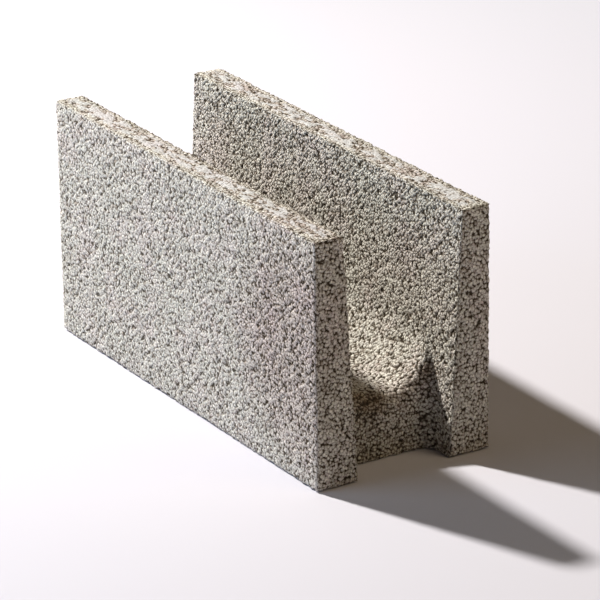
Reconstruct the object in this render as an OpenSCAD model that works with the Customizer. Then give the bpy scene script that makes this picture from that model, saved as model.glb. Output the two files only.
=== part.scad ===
// Channel block: a trough-shaped concrete masonry unit, cast in one piece.
// The trough runs along X, the block stands on its web (the trough's bottom), +Z is up,
// and the origin is the middle of the underside. All sizes are millimetres.

/* [Block] */
// Length along the wall
block_l = 500; // [300:5:600]
// Thickness of the wall that the block is laid in
block_w = 195; // [150:1:300]
// Height of the course
block_h = 250; // [190:1:300]
// Rounding of the outer edges, as they leave the mould
arris_r = 3; // [1:0.5:6]

/* [Trough] */
// Thickness of each side wall at its top
wall_top = 33; // [25:1:50]
// Thickness of each side wall at its foot, which gives the mould core its draft
wall_foot = 47; // [40:1:60]
// Thickness of the web under the middle of the trough
web_t = 62; // [40:1:90]
// Rounding of the rim where the trough runs out over the web's end
rim_r = 18; // [6:1:24]

/* [End recesses] */
// Depth by which the web stands back from the ends of the side walls
recess_d = 35; // [20:1:60]
// Radius of the recess's upright corners
recess_r = 12; // [4:1:18]

/* [Hidden] */
$fn = 96;

concrete = [0.74, 0.72, 0.68];
// How far a cutting shape runs past the face that it cuts
past = 1;
// How far the rim's rounding crosses the two faces that it joins, so that it meets them in clear edges
lead_in = 0.3;
// How far the trough's half round runs into the side walls, for the same reason
seam = 0.05;
// Lean of the side walls' inner faces
draft = atan((wall_foot - wall_top) / block_h);

// Half the clear width between the side walls at height z
function clear_half(z) = block_w / 2 - wall_foot + z * tan(draft);

// Radius and axis height of the trough's half-round bottom, which touches both side walls
trough_r = clear_half(web_t) * cos(draft) / (1 - sin(draft)) + seam;
trough_z = web_t + trough_r;
// Where the web ends
web_end = block_l / 2 - recess_d;

// Runs a shape drawn in (y, z) along X, centred on the origin
module along_x(length) {
    rotate([90, 0, 90])
        translate([0, 0, -length / 2])
            linear_extrude(height = length) children();
}

// Runs a shape drawn in (x, z) along Y, centred on the origin
module along_y(length) {
    rotate([90, 0, 0])
        translate([0, 0, -length / 2])
            linear_extrude(height = length) children();
}

// Rectangle with rounded corners, centred across and standing on the x axis
module rounded_rect(w, h, r) {
    translate([-w / 2 + r, 0]) square([w - 2 * r, h]);
    translate([-w / 2, r]) square([w, h - 2 * r]);
    for (x = [-1, 1], y = [r, h - r]) translate([x * (w / 2 - r), y]) circle(r);
}

// The mould box: its three views all have rounded corners
module mould_box() {
    intersection() {
        along_x(block_l) rounded_rect(block_w, block_h, arris_r);
        along_y(block_w) rounded_rect(block_l, block_h, arris_r);
        linear_extrude(height = block_h)
            translate([0, -block_w / 2]) rounded_rect(block_l, block_w, arris_r);
    }
}

// Section of the clear space between the side walls, from a distance up along their inner faces
module clear_section(from) {
    reach = clear_half(block_h);
    for (side = [0, 1])
        mirror([side, 0])
            translate([clear_half(0), 0])
                rotate(-draft)
                    translate([-reach, from]) square([reach, block_h + recess_d - from]);
}

// The trough: the drafted opening between the side walls, half round at its bottom
module trough() {
    along_x(block_l + 2 * past) {
        clear_section(trough_z * cos(draft) - clear_half(0) * sin(draft));
        translate([0, trough_z]) circle(trough_r);
    }
}

// The rounded rim at the +X end: the trough widens over the web's end, between the side walls
module end_rim() {
    start = web_end - rim_r + lead_in;
    widest = trough_r + rim_r - lead_in;
    intersection() {
        translate([start, 0, trough_z])
            rotate([0, 90, 0])
                rotate_extrude() difference() {
                    square([widest, recess_d + rim_r + past]);
                    translate([widest, 0]) circle(rim_r);
                }
        along_x(block_l + 2 * past) clear_section(-recess_d);
    }
}

// One half of the recess at the +X end, leaning out with the +Y side wall, its upright corner round
module half_recess() {
    depth = recess_d + past;
    reach = clear_half(block_h);
    translate([web_end, clear_half(0), 0])
        rotate([-draft, 0, 0])
            translate([0, 0, -recess_d])
                linear_extrude(height = block_h + 2 * recess_d) {
                    translate([recess_r, -reach]) square([depth - recess_r, reach]);
                    translate([0, -reach]) square([depth, reach - recess_r]);
                    translate([recess_r, -recess_r]) circle(recess_r);
                }
}

// The recess at the +X end, cut through the web from the underside to the trough
module end_recess() {
    half_recess();
    mirror([0, 1, 0]) half_recess();
}

// The length of trough before its ends are recessed
module open_trough() {
    difference() {
        mould_box();
        trough();
    }
}

// The length of trough with its web set back at both ends
module recessed_trough() {
    difference() {
        open_trough();
        end_recess();
        mirror([1, 0, 0]) end_recess();
    }
}

module channel_block() {
    color(concrete)
        difference() {
            recessed_trough();
            end_rim();
            mirror([1, 0, 0]) end_rim();
        }
}

channel_block();
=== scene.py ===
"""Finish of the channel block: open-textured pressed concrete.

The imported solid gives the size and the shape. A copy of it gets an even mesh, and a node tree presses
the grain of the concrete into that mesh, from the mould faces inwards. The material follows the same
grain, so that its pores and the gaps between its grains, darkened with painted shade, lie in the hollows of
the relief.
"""

import math

import bmesh
import bpy
import numpy as np
from mathutils import Matrix, Vector


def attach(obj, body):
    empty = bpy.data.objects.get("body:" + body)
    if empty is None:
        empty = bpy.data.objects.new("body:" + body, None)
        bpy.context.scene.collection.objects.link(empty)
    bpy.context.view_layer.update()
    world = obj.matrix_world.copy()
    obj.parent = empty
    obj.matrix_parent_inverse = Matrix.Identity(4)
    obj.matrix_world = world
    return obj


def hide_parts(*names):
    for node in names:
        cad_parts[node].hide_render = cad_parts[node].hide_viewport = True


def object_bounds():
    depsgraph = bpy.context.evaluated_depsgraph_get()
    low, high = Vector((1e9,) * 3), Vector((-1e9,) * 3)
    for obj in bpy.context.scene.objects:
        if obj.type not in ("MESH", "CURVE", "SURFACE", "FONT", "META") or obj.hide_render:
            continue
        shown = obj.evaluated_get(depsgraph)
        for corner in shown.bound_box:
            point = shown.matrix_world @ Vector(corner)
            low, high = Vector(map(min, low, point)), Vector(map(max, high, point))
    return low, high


bl_info = {
    "name": "Channel block finish",
    "version": (1, 0, 0),
    "blender": (4, 5, 0),
    "location": "View3D > Sidebar > Channel block",
    "description": "Gives the packed channel block its open-textured concrete surface and a stage",
    "category": "Object",
}

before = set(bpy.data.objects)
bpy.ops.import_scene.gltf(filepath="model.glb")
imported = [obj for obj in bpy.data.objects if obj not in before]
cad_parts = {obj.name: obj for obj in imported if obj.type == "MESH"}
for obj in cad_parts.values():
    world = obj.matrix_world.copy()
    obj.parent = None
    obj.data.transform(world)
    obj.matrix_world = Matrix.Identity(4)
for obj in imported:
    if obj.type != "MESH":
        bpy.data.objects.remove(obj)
CAD_LOW, CAD_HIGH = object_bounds()

NODE = "channel_block"
PIECE = "concrete_body"
BODY = "root"
MM = 0.001

# Shape values that the part's source also holds; it works out the axis, which is rounded here
ARRIS = 3.0 * MM
RECESS_DEPTH = 35.0 * MM
TROUGH_AXIS_HEIGHT = 119.0 * MM

# The even mesh: how often its grid is halved, and how often it is evened out to find its edges
MESH_GRID_DEPTH = 8
EVENING_PASSES = 30

# The grains: how their pattern is turned against the mould faces, and then, in grain sizes, how far they
# sway and scatter, and how far from a grain's middle the gap and the painted shade of the pore start and are
# full
GRAIN_TURN = (0.5, 0.7, 0.3)
GRAIN_SWAY = 0.8
GRAIN_SCATTER = 0.8
GAP_LIMITS = (0.20, 0.80)
PORE_LIMITS = (0.60, 0.78)

# Single large pores, with their limits in spacings
LONE_PORE_SPACING = 24.0 * MM
LONE_PORE_LIMITS = (0.11, 0.06)

# Cement smeared over the struck tops, drawn out along the block
SMEAR_SIZE = 6.0 * MM
SMEAR_DRAW = (0.45, 1.0, 1.0)
SMEAR_LIMITS = (0.45, 0.53)

# Soft round marks: the centre of each, its reach, and the core in which it is full
STAIN = ((225.0 * MM, -97.5 * MM, 130.0 * MM), 155.0 * MM, 50.0 * MM)
# The crumbled spots under the trough's rim and at the top of the recess corner: their texture opens, and they
# also get painted shade
RIM_CRUMBLE_AND_SHADE = ((208.0 * MM, -14.0 * MM, 63.0 * MM), 28.0 * MM, 10.0 * MM)
CORNER_CRUMBLE_AND_SHADE = ((215.0 * MM, 48.0 * MM, 80.0 * MM), 12.0 * MM, 4.0 * MM)

# How much of the texture the mould and the smeared cement close, and how much loose packing opens it;
# an open texture has deeper relief and more painted shade in its gaps and pores
MOULD_CLOSES = 0.20
SMEAR_CLOSES = 0.70
WEB_OPENS = 0.20
CRUMBLE_OPENS = 0.70

# Shares of the relief: the gaps between grains, and the step from one grain to the next
GAP_SHARE = 0.8
LEVEL_SHARE = 0.2

# Marks kept at each point: where the finish of a mould face starts and is full, inwards from the block's box
MARKS = ("pressed", "struck", "webbed")
PRESSED_LIMITS = (2.0 * MM, 0.5 * MM)
STRUCK_LIMITS = (1.0 * MM, 0.2 * MM)

# The film on the tops stops raggedly beside the edges, where evening out would draw the points in this far
FILM_LIMITS = (-2.2 * MM, -1.2 * MM)
RAGGED_SIZE = 10.0 * MM
RAGGED_REACH = 3.0 * MM

# The web's ends face along the block and lie inwards from its ends
WEB_FACING_LIMITS = (0.5, 0.9)
WEB_INSET_LIMITS = (0.4 * RECESS_DEPTH, 0.8 * RECESS_DEPTH)

# Tints by which the grains' colours are multiplied; the stops run from dark sand to pale sand, from cloud
# to cloud, and from a grain's middle into a gap. The last is painted shade: it lightens the grains' middles
# and darkens the gaps between them, as their own shade would.
SAND_SIZE = 1.4 * MM
SAND_STOPS = (
    (0.28, (0.45, 0.43, 0.41)),
    (0.48, (1.0, 1.0, 1.0)),
    (0.72, (1.15, 1.15, 1.15)),
)
CLOUD_SIZE = 45.0 * MM
CLOUD_STOPS = (
    (0.35, (0.975, 0.985, 0.96)),
    (0.52, (1.0, 0.995, 0.98)),
    (0.66, (1.015, 0.98, 0.985)),
)
GAP_SHADE_STOPS = (
    (0.00, (1.16, 1.16, 1.15)),
    (0.45, (0.86, 0.85, 0.83)),
    (0.88, (0.36, 0.32, 0.27)),
)
STAIN_TINT = (0.89, 0.86, 0.83)
PRESSED_STAIN_TINT = (1.01, 0.965, 1.015)
# Painted shade: the crumbled spots under the trough's rim and at the recess corner are darkened brown
CRUMBLE_SHADE_TINT = (0.66, 0.60, 0.53)

# Fine grit, which only the bump shows
GRIT_SIZE = 1.1 * MM
GRIT_HEIGHT = 0.6 * MM

# The bake map: its columns, the free border of a cell, slack beside the arrises and the recess, and how far
# a face has to look along the block to lie on an end, anywhere or within the recess
MAP_COLUMNS = 2
MAP_BORDER = 0.01
ARRIS_SLACK = 0.1 * MM
RECESS_SLACK = 0.3 * MM
END_FACING = 0.7
RECESS_FACING = 0.2

# The stage: each lamp's place, width and colour, the even light's colour, and the floor's half width and
# the distances between which it passes into the backdrop
LAMPS = {
    "key": ((-2.60, -1.18, 2.92), 0.28, (1.0, 0.955, 0.88)),
    "fill": ((-0.35, -1.6, 0.75), 1.3, (0.52, 0.74, 1.0)),
    "return": ((1.45, 0.75, 1.70), 1.2, (1.0, 0.77, 0.48)),
}
EVEN_LIGHT_COLOUR = (1.0, 0.90, 0.80)
FLOOR_REACH = 30.0
FADE_LIMITS = (0.8, 2.4)


# Settings that a user would change

def length_property(name, description, default, high):
    return bpy.props.FloatProperty(
        name=name, description=description, default=default, min=0.1 * MM, max=high,
        unit="LENGTH", precision=4)


def colour_property(name, description, default):
    return bpy.props.FloatVectorProperty(
        name=name, description=description, default=default, size=3, min=0.0, max=1.0, subtype="COLOR")


def power_property(name, description, default):
    return bpy.props.FloatProperty(
        name=name, description=description, default=default, min=0.0, max=1000.0, unit="POWER")


class ConcreteSettings(bpy.types.PropertyGroup):
    """Grain, pores and colours of the concrete."""

    mesh_density: bpy.props.FloatProperty(
        name="Mesh density", description="Share of the mesh grid that the block's length fills",
        default=0.70, min=0.2, max=0.75, subtype="FACTOR")
    grain_size: length_property("Grain size", "Width of the aggregate grains", 2.9 * MM, 20.0 * MM)
    relief: length_property("Relief", "Depth of the hollows below the mould faces", 2.0 * MM, 5.0 * MM)
    wear: bpy.props.FloatProperty(
        name="Wear", description="How far the sharp edges are rubbed down",
        default=0.15, min=0.0, max=1.0, subtype="FACTOR")
    grey: colour_property("Grey grains", "Colour of most grains", (0.635, 0.615, 0.585))
    pale: colour_property("Pale grains", "Colour of the palest grains", (0.77, 0.75, 0.70))
    rose: colour_property("Rose grains", "Colour of the reddish grains", (0.51, 0.455, 0.445))
    brown: colour_property("Brown grains", "Colour of the darkest grains", (0.385, 0.335, 0.295))
    cement: colour_property("Cement film", "Colour of the cement on the struck tops", (0.535, 0.535, 0.555))
    # The pores' colour is painted shade: their deep bottoms are given this near-black brown
    pore_shade: colour_property("Pores", "Colour at the bottom of the pores", (0.038, 0.028, 0.018))


class StageSettings(bpy.types.PropertyGroup):
    """Floor, lamps and camera."""

    floor_colour: colour_property("Floor colour", "Colour of the plain floor", (0.65, 0.645, 0.72))
    backdrop_colour: colour_property("Backdrop colour", "Colour behind the floor", (0.84, 0.83, 0.85))
    key_power: power_property("Key power", "Power of the lamp behind the block", 300.0)
    fill_power: power_property("Fill power", "Power of the broad lamp beside the block", 8.8)
    return_power: power_property("Return power", "Power of the weak warm lamp in front of the block", 8.8)
    world_strength: bpy.props.FloatProperty(
        name="World strength", description="Strength of the even light from all sides",
        default=0.018, min=0.0, max=5.0)
    lens: bpy.props.FloatProperty(
        name="Lens", description="Focal length of the camera",
        default=238.8, min=10.0, max=500.0, unit="CAMERA")


# Node tree helpers

def add_node(tree, kind, inputs=None, **settings):
    """Adds a node, sets its properties, and links or sets its inputs by name or number."""
    made = tree.nodes.new(kind)
    for name, value in settings.items():
        setattr(made, name, value)
    for key, value in (inputs or {}).items():
        if isinstance(value, bpy.types.NodeSocket):
            tree.links.new(value, made.inputs[key])
        else:
            made.inputs[key].default_value = value
    return made


def add_math(tree, operation, first, second=0.0):
    return add_node(tree, "ShaderNodeMath", {0: first, 1: second}, operation=operation).outputs[0]


def add_vector_math(tree, operation, first, second):
    """Works on two vectors; SCALE takes a number as the second."""
    key = "Scale" if operation == "SCALE" else 1
    return add_node(tree, "ShaderNodeVectorMath", {0: first, key: second}, operation=operation).outputs[0]


def add_measure(tree, operation, first, second=(0.0, 0.0, 0.0)):
    """Makes one number of two vectors, such as their distance; LENGTH measures the first alone."""
    made = add_node(tree, "ShaderNodeVectorMath", {0: first, 1: second}, operation=operation)
    return made.outputs["Value"]


def add_split(tree, vector):
    """The X, Y and Z of a vector."""
    return add_node(tree, "ShaderNodeSeparateXYZ", {0: vector}).outputs


def add_step(tree, value, low, high):
    """Rises smoothly from 0 to 1 as the value goes from low to high."""
    return add_node(tree, "ShaderNodeMapRange", {
        "Value": value, "From Min": low, "From Max": high}, interpolation_type="SMOOTHSTEP").outputs["Result"]


def add_noise(tree, place, size, detail=2.0, roughness=0.5):
    """A noise pattern with the given feature size in metres."""
    return add_node(tree, "ShaderNodeTexNoise", {
        "Vector": place, "Scale": 1.0 / size, "Detail": detail, "Roughness": roughness})


def add_spot(tree, place, centre, reach, core):
    """A soft round spot: 1 within the core distance of its centre, 0 beyond its reach."""
    return add_step(tree, add_measure(tree, "DISTANCE", place, centre), reach, core)


# The grain of the concrete: one rule, used for the relief and for the colour

def add_grain_field(tree, place, settings):
    """Patterns at a place in the block, each from 0 to 1: gaps and pores, tints of grains, and marks."""
    turned = add_node(tree, "ShaderNodeVectorRotate", {
        "Vector": place, "Rotation": GRAIN_TURN}, rotation_type="EULER_XYZ").outputs[0]
    sway = GRAIN_SWAY * settings.grain_size
    wander = add_noise(tree, turned, sway).outputs["Color"]
    offset = add_vector_math(tree, "ADD", wander, (-0.5, -0.5, -0.5))
    swayed = add_vector_math(tree, "ADD", turned, add_vector_math(tree, "SCALE", offset, sway))
    grain = add_node(tree, "ShaderNodeTexVoronoi", {
        "Vector": swayed, "Scale": 1.0 / settings.grain_size, "Randomness": GRAIN_SCATTER},
        feature="F1").outputs
    hole = add_node(tree, "ShaderNodeTexVoronoi", {
        "Vector": swayed, "Scale": 1.0 / LONE_PORE_SPACING}, feature="F1").outputs
    lone = add_step(tree, hole["Distance"], *LONE_PORE_LIMITS)
    tint = add_split(tree, grain["Color"])
    drawn = add_vector_math(tree, "MULTIPLY", place, SMEAR_DRAW)
    return {
        "gap": add_math(tree, "MAXIMUM", add_step(tree, grain["Distance"], *GAP_LIMITS), lone),
        "pore_shade": add_math(tree, "MAXIMUM", add_step(tree, grain["Distance"], *PORE_LIMITS), lone),
        "tint": tint["X"],
        "level": tint["Y"],
        "smear": add_step(tree, add_noise(tree, drawn, SMEAR_SIZE).outputs["Fac"], *SMEAR_LIMITS),
        "stain": add_spot(tree, place, *STAIN),
        "crumble_and_shade": add_math(
            tree, "MAXIMUM", add_spot(tree, place, *RIM_CRUMBLE_AND_SHADE), add_spot(tree, place, *CORNER_CRUMBLE_AND_SHADE)),
    }


def add_openness(tree, field, marks):
    """How open the texture is: 1 in the trough.

    It is less where the mould rubs or cement smears, and more on the web's ends and where it crumbles.
    """
    clean = add_math(tree, "SUBTRACT", 1.0, field["stain"])
    rubbed = add_math(tree, "MULTIPLY", add_math(tree, "MULTIPLY", marks["pressed"], clean), MOULD_CLOSES)
    filmed = add_math(tree, "MULTIPLY", marks["struck"], field["smear"])
    closed = add_math(tree, "ADD", rubbed, add_math(tree, "MULTIPLY", filmed, SMEAR_CLOSES))
    loose = add_math(tree, "MULTIPLY", marks["webbed"], WEB_OPENS)
    opened = add_math(tree, "ADD", loose, add_math(tree, "MULTIPLY", field["crumble_and_shade"], CRUMBLE_OPENS))
    return add_math(tree, "ADD", 1.0, add_math(tree, "SUBTRACT", opened, closed))


def add_height(tree, field, openness):
    """How high the surface stands, from about 0 in a gap to 1 at the mould face."""
    gap = add_math(tree, "MULTIPLY", add_math(tree, "MULTIPLY", field["gap"], openness), GAP_SHARE)
    lower = add_math(tree, "MULTIPLY", field["level"], LEVEL_SHARE)
    return add_math(tree, "SUBTRACT", 1.0, add_math(tree, "ADD", gap, lower))


# Geometry trees

def new_geometry_tree(name, sockets):
    """An empty geometry tree with the named inputs; returns it, its input node and its output node."""
    tree = bpy.data.node_groups.new(name, "GeometryNodeTree")
    tree.interface.new_socket("Geometry", in_out="INPUT", socket_type="NodeSocketGeometry")
    for socket_name, kind in sockets.items():
        tree.interface.new_socket(socket_name, in_out="INPUT", socket_type=f"NodeSocket{kind}")
    tree.interface.new_socket("Geometry", in_out="OUTPUT", socket_type="NodeSocketGeometry")
    return tree, tree.nodes.new("NodeGroupInput"), tree.nodes.new("NodeGroupOutput")


def keep_evaluated(piece):
    """Replaces a piece's mesh by what its modifiers make of it, and removes them."""
    graph = bpy.context.evaluated_depsgraph_get()
    made = bpy.data.meshes.new_from_object(piece.evaluated_get(graph), depsgraph=graph)
    piece.modifiers.clear()
    old = piece.data
    piece.data = made
    made.name = piece.name
    bpy.data.meshes.remove(old)


def apply_tree(piece, tree, values):
    """Runs a geometry tree on a piece and keeps the result as its plain mesh."""
    modifier = piece.modifiers.new(tree.name, "NODES")
    modifier.node_group = tree
    sockets = {s.name: s.identifier for s in tree.interface.items_tree if s.in_out == "INPUT"}
    for name, value in values.items():
        modifier[sockets[name]] = value
    keep_evaluated(piece)


def add_attribute(tree, geometry, name, value, kind):
    """Keeps a value at each point, for the material."""
    return add_node(tree, "GeometryNodeStoreNamedAttribute", {
        "Geometry": geometry, "Name": name, "Value": value}, data_type=kind, domain="POINT").outputs[0]


def add_rounding(tree, place, normal):
    """How far evening out would move a point outwards: well below 0 along a sharp edge."""
    evened = add_node(tree, "GeometryNodeBlurAttribute", {
        "Value": place, "Iterations": EVENING_PASSES}, data_type="FLOAT_VECTOR").outputs[0]
    return add_measure(tree, "DOT_PRODUCT", add_vector_math(tree, "SUBTRACT", evened, place), normal)


def add_marks(tree, place, normal, rounding, low, high):
    """Which finish a point has, each from 0 to 1: pressed sides and foot, struck tops, the web's ends."""
    from_low = add_split(tree, add_vector_math(tree, "SUBTRACT", place, low))
    from_high = add_split(tree, add_vector_math(tree, "SUBTRACT", high, place))
    to_side = add_math(tree, "MINIMUM", from_low["Y"], from_high["Y"])
    to_mould = add_math(tree, "MINIMUM", to_side, from_low["Z"])
    waver = add_math(tree, "SUBTRACT", add_noise(tree, place, RAGGED_SIZE).outputs["Fac"], 0.5)
    from_edge = add_math(tree, "ADD", rounding, add_math(tree, "MULTIPLY", waver, RAGGED_REACH))
    on_top = add_step(tree, from_high["Z"], *STRUCK_LIMITS)
    facing = add_math(tree, "ABSOLUTE", add_split(tree, normal)["X"])
    on_end = add_step(tree, facing, *WEB_FACING_LIMITS)
    to_end = add_math(tree, "MINIMUM", from_low["X"], from_high["X"])
    return {
        "pressed": add_step(tree, to_mould, *PRESSED_LIMITS),
        "struck": add_math(tree, "MULTIPLY", on_top, add_step(tree, from_edge, *FILM_LIMITS)),
        "webbed": add_math(tree, "MULTIPLY", on_end, add_step(tree, to_end, *WEB_INSET_LIMITS)),
    }


def relief_tree(settings):
    """Presses the grain into a closed mesh, rubs its edges down and keeps the marks of the mould faces."""
    tree, given, result = new_geometry_tree("Concrete relief", {
        "Relief": "Float", "Wear": "Float", "Low": "Vector", "High": "Vector", "Material": "Material"})
    take = given.outputs
    place = add_node(tree, "GeometryNodeInputPosition").outputs[0]
    normal = add_node(tree, "GeometryNodeInputNormal").outputs[0]
    rounding = add_rounding(tree, place, normal)
    marks = add_marks(tree, place, normal, rounding, take["Low"], take["High"])
    marked = add_attribute(tree, take["Geometry"], "mould_place", place, "FLOAT_VECTOR")
    for name in MARKS:
        marked = add_attribute(tree, marked, name, marks[name], "FLOAT")

    field = add_grain_field(tree, place, settings)
    height = add_height(tree, field, add_openness(tree, field, marks))
    depth = add_math(tree, "MULTIPLY", add_math(tree, "SUBTRACT", height, 1.0), take["Relief"])
    worn = add_math(tree, "MULTIPLY", add_math(tree, "MINIMUM", rounding, 0.0), take["Wear"])
    inward = add_math(tree, "ADD", depth, worn)
    sunk = add_vector_math(tree, "ADD", place, add_vector_math(tree, "SCALE", normal, inward))
    above = add_vector_math(tree, "MAXIMUM", sunk, take["Low"])
    within = add_vector_math(tree, "MINIMUM", above, take["High"])

    moved = add_node(tree, "GeometryNodeSetPosition", {"Geometry": marked, "Position": within})
    smooth = add_node(tree, "GeometryNodeSetShadeSmooth", {"Geometry": moved.outputs[0]})
    real = add_node(tree, "GeometryNodeRealizeInstances", {"Geometry": smooth.outputs[0]})
    coated = add_node(tree, "GeometryNodeSetMaterial", {
        "Geometry": real.outputs[0], "Material": take["Material"]})
    tree.links.new(coated.outputs[0], result.inputs[0])
    return tree


# Materials

def new_material(name):
    """A material whose tree holds its shader and its output; returns it, the tree and both nodes."""
    material = bpy.data.materials.new(name)
    material.use_nodes = True
    tree = material.node_tree
    tree.nodes.clear()
    shader = tree.nodes.new("ShaderNodeBsdfPrincipled")
    output = tree.nodes.new("ShaderNodeOutputMaterial")
    tree.links.new(shader.outputs[0], output.inputs["Surface"])
    return material, tree, shader, output


def add_ramp(tree, value, stops):
    """A colour ramp through (position, colour) stops."""
    ramp = add_node(tree, "ShaderNodeValToRGB", {0: value})
    while len(ramp.color_ramp.elements) < len(stops):
        ramp.color_ramp.elements.new(0.5)
    for element, (position, colour) in zip(ramp.color_ramp.elements, stops):
        element.position = position
        element.color = (*colour, 1.0)
    return ramp.outputs[0]


def add_mix(tree, blend, factor, first, second):
    """Mixes two colours; each is a socket or a colour."""
    mix = add_node(tree, "ShaderNodeMix", {0: factor}, data_type="RGBA", blend_type=blend)
    for socket, value in ((mix.inputs[6], first), (mix.inputs[7], second)):
        if isinstance(value, bpy.types.NodeSocket):
            tree.links.new(value, socket)
        else:
            socket.default_value = (*value, 1.0)
    return mix.outputs[2]


def concrete_material(settings):
    """Grains of a few greys, cement on the struck tops, sandy mottling, clouds and marks, with painted shade
    in the gaps, the pores and the crumbled spots.
    """
    material, tree, shader, _ = new_material("pressed_concrete")
    place = add_node(tree, "ShaderNodeAttribute", attribute_name="mould_place").outputs["Vector"]
    marks = {
        name: add_node(tree, "ShaderNodeAttribute", attribute_name=name).outputs["Fac"] for name in MARKS}
    field = add_grain_field(tree, place, settings)
    openness = add_openness(tree, field, marks)

    grains = add_ramp(tree, field["tint"], (
        (0.00, settings.brown), (0.12, settings.grey), (0.62, settings.grey),
        (0.85, settings.pale), (1.00, settings.rose)))
    bared = add_ramp(tree, field["tint"], (
        (0.00, settings.brown), (0.50, settings.rose), (1.00, settings.grey)))
    top = add_mix(tree, "MIX", field["smear"], bared, settings.cement)
    colour = add_mix(tree, "MIX", marks["struck"], grains, top)
    sand = add_ramp(tree, add_noise(tree, place, SAND_SIZE).outputs["Fac"], SAND_STOPS)
    clouds = add_ramp(tree, add_noise(tree, place, CLOUD_SIZE).outputs["Fac"], CLOUD_STOPS)
    pressed_stain = add_math(tree, "MULTIPLY", field["stain"], marks["pressed"])
    # Painted shade: the grains' middles lighter, the gaps between them darker, more so where the texture is
    # open
    gap_shade = add_ramp(tree, add_math(tree, "MULTIPLY", field["gap"], openness), GAP_SHADE_STOPS)
    tints = (
        (1.0, sand),
        (1.0, clouds),
        (field["stain"], STAIN_TINT),
        (pressed_stain, PRESSED_STAIN_TINT),
        (field["crumble_and_shade"], CRUMBLE_SHADE_TINT),
        (1.0, gap_shade),
    )
    for share, tint in tints:
        colour = add_mix(tree, "MULTIPLY", share, colour, tint)
    # Painted shade: the pores take the near-black colour of their bottoms, more so where the texture is open
    dark = add_math(tree, "MULTIPLY", field["pore_shade"], openness)
    tree.links.new(add_mix(tree, "MIX", dark, colour, settings.pore_shade), shader.inputs["Base Color"])
    shader.inputs["Roughness"].default_value = 0.93
    shader.inputs["Specular IOR Level"].default_value = 0.1

    coarse = add_node(tree, "ShaderNodeBump", {
        "Height": add_height(tree, field, openness), "Distance": settings.relief, "Strength": 0.65})
    grit = add_noise(tree, place, GRIT_SIZE, detail=3.0, roughness=0.6)
    fine = add_node(tree, "ShaderNodeBump", {
        "Height": grit.outputs["Fac"], "Distance": GRIT_HEIGHT, "Strength": 0.6,
        "Normal": coarse.outputs[0]})
    tree.links.new(fine.outputs[0], shader.inputs["Normal"])
    return material


def add_seen(tree):
    """1 for rays that show the backdrop, straight or by reflection; 0 for those that only carry its light."""
    path = add_node(tree, "ShaderNodeLightPath").outputs
    mirrored = add_math(tree, "MAXIMUM", path["Is Glossy Ray"], path["Is Transmission Ray"])
    return add_math(tree, "MAXIMUM", path["Is Camera Ray"], mirrored)


def floor_material(colour, backdrop):
    """A matt floor, which passes into the pale backdrop some way off."""
    material, tree, shader, output = new_material("studio_floor")
    shader.inputs["Base Color"].default_value = (*colour, 1.0)
    shader.inputs["Roughness"].default_value = 0.9
    shader.inputs["Specular IOR Level"].default_value = 0.1
    place = add_node(tree, "ShaderNodeTexCoord").outputs["Object"]
    away = add_step(tree, add_measure(tree, "LENGTH", place), *FADE_LIMITS)
    fade = add_math(tree, "MULTIPLY", away, add_seen(tree))
    glow = add_node(tree, "ShaderNodeEmission", {"Color": (*backdrop, 1.0)})
    blend = add_node(tree, "ShaderNodeMixShader", {0: fade, 1: shader.outputs[0], 2: glow.outputs[0]})
    tree.links.new(blend.outputs[0], output.inputs["Surface"])
    return material


# Pieces

def new_piece(name, mesh):
    piece = bpy.data.objects.new(name, mesh)
    bpy.context.scene.collection.objects.link(piece)
    return piece


def block_mesh():
    """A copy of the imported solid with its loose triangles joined."""
    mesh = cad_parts[NODE].data.copy()
    mesh.name = PIECE
    mesh.materials.clear()
    work = bmesh.new()
    work.from_mesh(mesh)
    bmesh.ops.remove_doubles(work, verts=work.verts, dist=0.01 * MM)
    work.to_mesh(mesh)
    work.free()
    return mesh


def finish_piece(piece):
    """Says what the piece stands for in the frame."""
    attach(piece, BODY)
    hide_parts(NODE)


# The bake map: each face of the block unfolded flat, in its own cell of the map

def unfold_upright(points):
    return points[:, 0], points[:, 2]


def unfold_level(points):
    return points[:, 0], points[:, 1]


def unfold_end(points):
    """Across the wall end, along the recess's side and across the web's end, as one strip."""
    web_end = CAD_HIGH.x - RECESS_DEPTH
    forward = np.maximum(np.abs(points[:, 0]) - web_end, 0.0)
    return points[:, 1] + np.sign(points[:, 1]) * forward, points[:, 2]


def unfold_trough(points):
    """Turns about the axis of the trough's half round, so a wall and its part of the round make one strip."""
    return points[:, 0], np.arctan2(points[:, 1], TROUGH_AXIS_HEIGHT - points[:, 2])


def map_cells(centres, normals):
    """For each cell of the map: which faces it holds and how they unfold. The first cell takes a face."""
    x, y, z = centres.T
    arris = ARRIS + ARRIS_SLACK
    facing = np.abs(normals[:, 0])
    in_recess = np.abs(x) > CAD_HIGH.x - RECESS_DEPTH - RECESS_SLACK
    recess = in_recess & ((facing > RECESS_FACING) | (z < TROUGH_AXIS_HEIGHT))
    end = (facing > END_FACING) | recess
    return [
        (y < CAD_LOW.y + arris, unfold_upright),
        (y > CAD_HIGH.y - arris, unfold_upright),
        (z > CAD_HIGH.z - arris, unfold_level),
        (z < CAD_LOW.z + arris, unfold_level),
        (end & (x < 0.0), unfold_end),
        (end, unfold_end),
        (y < 0.0, unfold_trough),
        (y >= 0.0, unfold_trough),
    ]


def read_values(items, name, count, kind=float):
    """One value, or a few, of each vertex, face or corner of a mesh, as an array."""
    values = np.empty(len(items) * count, dtype=kind)
    items.foreach_get(name, values)
    return values.reshape(-1, count) if count > 1 else values


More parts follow.
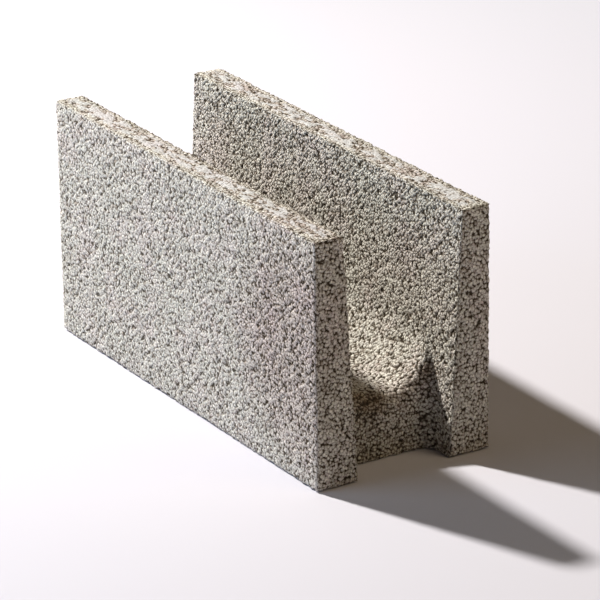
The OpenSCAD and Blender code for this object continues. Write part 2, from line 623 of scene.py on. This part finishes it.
def add_bake_map(mesh):
    """Unfolds a mesh on the mould faces into the cells of the bake map."""
    points = read_values(mesh.vertices, "co", 3)
    sizes = read_values(mesh.polygons, "loop_total", 1, np.int32)
    corners = read_values(mesh.loops, "vertex_index", 1, np.int32)
    cells = map_cells(read_values(mesh.polygons, "center", 3), read_values(mesh.polygons, "normal", 3))
    rows = math.ceil(len(cells) / MAP_COLUMNS)
    free = np.ones(len(mesh.polygons), dtype=bool)
    uv = np.zeros((len(mesh.loops), 2))
    for index, (holds, unfold) in enumerate(cells):
        here = np.repeat(holds & free, sizes)
        free &= ~holds
        row, column = divmod(index, MAP_COLUMNS)
        across, up = unfold(points[corners[here]])
        for axis, (flat, slot, count) in enumerate(((across, column, MAP_COLUMNS), (up, row, rows))):
            share = (flat - flat.min()) / (flat.max() - flat.min())
            uv[here, axis] = (slot + MAP_BORDER + (1.0 - 2.0 * MAP_BORDER) * share) / count
    layer = mesh.uv_layers.new(name="OFBake")
    layer.uv.foreach_set("vector", uv.ravel())


# Operators

class BLOCK_OT_cast_block(bpy.types.Operator):
    """Makes the block of open-textured concrete"""

    bl_idname = "block.cast_block"
    bl_label = "Cast the block"

    def execute(self, context):
        settings = context.scene.block_concrete
        block = new_piece(PIECE, block_mesh())
        remesh = block.modifiers.new("Even faces", "REMESH")
        remesh.mode = "SHARP"
        remesh.octree_depth = MESH_GRID_DEPTH
        remesh.scale = settings.mesh_density
        remesh.use_remove_disconnected = False
        keep_evaluated(block)
        add_bake_map(block.data)
        apply_tree(block, relief_tree(settings), {
            "Relief": settings.relief, "Wear": settings.wear, "Low": CAD_LOW, "High": CAD_HIGH,
            "Material": concrete_material(settings)})
        finish_piece(block)
        return {"FINISHED"}


class BLOCK_OT_set_stage(bpy.types.Operator):
    """Sets up the floor, the lamps and the camera"""

    bl_idname = "block.set_stage"
    bl_label = "Set the stage"

    aim = Vector((0.0262, 0.0224, 0.0962))
    azimuth = math.radians(58.81)
    elevation = math.radians(21.15)
    roll = math.radians(-0.81)
    distance = 3.909

    def execute(self, context):
        settings = context.scene.block_stage
        self.lay_floor(settings)
        powers = {"key": settings.key_power, "fill": settings.fill_power, "return": settings.return_power}
        for name, (place, size, colour) in LAMPS.items():
            self.hang_lamp(name, place, size, powers[name], colour)
        self.light_world(settings)
        self.place_camera(settings)
        return {"FINISHED"}

    def lay_floor(self, settings):
        reach = FLOOR_REACH
        corners = [(-reach, -reach, 0), (reach, -reach, 0), (reach, reach, 0), (-reach, reach, 0)]
        mesh = bpy.data.meshes.new("floor")
        mesh.from_pydata(corners, [], [(0, 1, 2, 3)])
        mesh.materials.append(floor_material(settings.floor_colour, settings.backdrop_colour))
        new_piece("floor", mesh)

    def hang_lamp(self, name, place, size, power, colour):
        """A round lamp that looks at the middle of the block."""
        data = bpy.data.lights.new(name, "AREA")
        data.shape = "DISK"
        data.size = size
        data.energy = power
        data.color = colour
        lamp = bpy.data.objects.new(name, data)
        lamp.location = place
        middle = (CAD_LOW + CAD_HIGH) / 2
        lamp.rotation_euler = (middle - Vector(place)).to_track_quat("-Z", "Y").to_euler()
        bpy.context.scene.collection.objects.link(lamp)

    def light_world(self, settings):
        """A weak even light, with the pale backdrop shown in its place."""
        world = bpy.data.worlds.new("studio")
        world.use_nodes = True
        tree = world.node_tree
        light = tree.nodes["Background"]
        light.inputs["Color"].default_value = (*EVEN_LIGHT_COLOUR, 1.0)
        light.inputs["Strength"].default_value = settings.world_strength
        shown = add_node(tree, "ShaderNodeBackground", {"Color": (*settings.backdrop_colour, 1.0)})
        blend = add_node(
            tree, "ShaderNodeMixShader", {0: add_seen(tree), 1: light.outputs[0], 2: shown.outputs[0]})
        tree.links.new(blend.outputs[0], tree.nodes["World Output"].inputs["Surface"])
        bpy.context.scene.world = world

    def place_camera(self, settings):
        data = bpy.data.cameras.new("camera")
        data.lens = settings.lens
        data.clip_end = 100.0
        camera = bpy.data.objects.new("camera", data)
        back = Vector((
            math.sin(self.azimuth) * math.cos(self.elevation),
            -math.cos(self.azimuth) * math.cos(self.elevation),
            math.sin(self.elevation)))
        facing = (-back).to_track_quat("-Z", "Y").to_matrix().to_4x4()
        rolled = facing @ Matrix.Rotation(self.roll, 4, "Z")
        camera.matrix_world = Matrix.Translation(self.aim + back * self.distance) @ rolled
        bpy.context.scene.collection.objects.link(camera)
        bpy.context.scene.camera = camera
        bpy.context.scene.view_settings.view_transform = "Standard"


class BLOCK_PT_finish(bpy.types.Panel):
    """Buttons and settings of the block's finish"""

    bl_label = "Channel block"
    bl_space_type = "VIEW_3D"
    bl_region_type = "UI"
    bl_category = "Channel block"

    def draw(self, context):
        steps = (
            (BLOCK_OT_cast_block, context.scene.block_concrete),
            (BLOCK_OT_set_stage, context.scene.block_stage),
        )
        for operator, settings in steps:
            box = self.layout.box()
            box.operator(operator.bl_idname)
            for name in settings.__annotations__:
                box.prop(settings, name)


SETTINGS = {
    "block_concrete": ConcreteSettings,
    "block_stage": StageSettings,
}
CLASSES = (*SETTINGS.values(), BLOCK_OT_cast_block, BLOCK_OT_set_stage, BLOCK_PT_finish)


def register():
    for cls in CLASSES:
        bpy.utils.register_class(cls)
    for name, group in SETTINGS.items():
        setattr(bpy.types.Scene, name, bpy.props.PointerProperty(type=group))


def unregister():
    for name in SETTINGS:
        delattr(bpy.types.Scene, name)
    for cls in reversed(CLASSES):
        bpy.utils.unregister_class(cls)


def main():
    register()
    bpy.ops.block.cast_block()
    bpy.ops.block.set_stage()


if __name__ == "__main__":
    main()
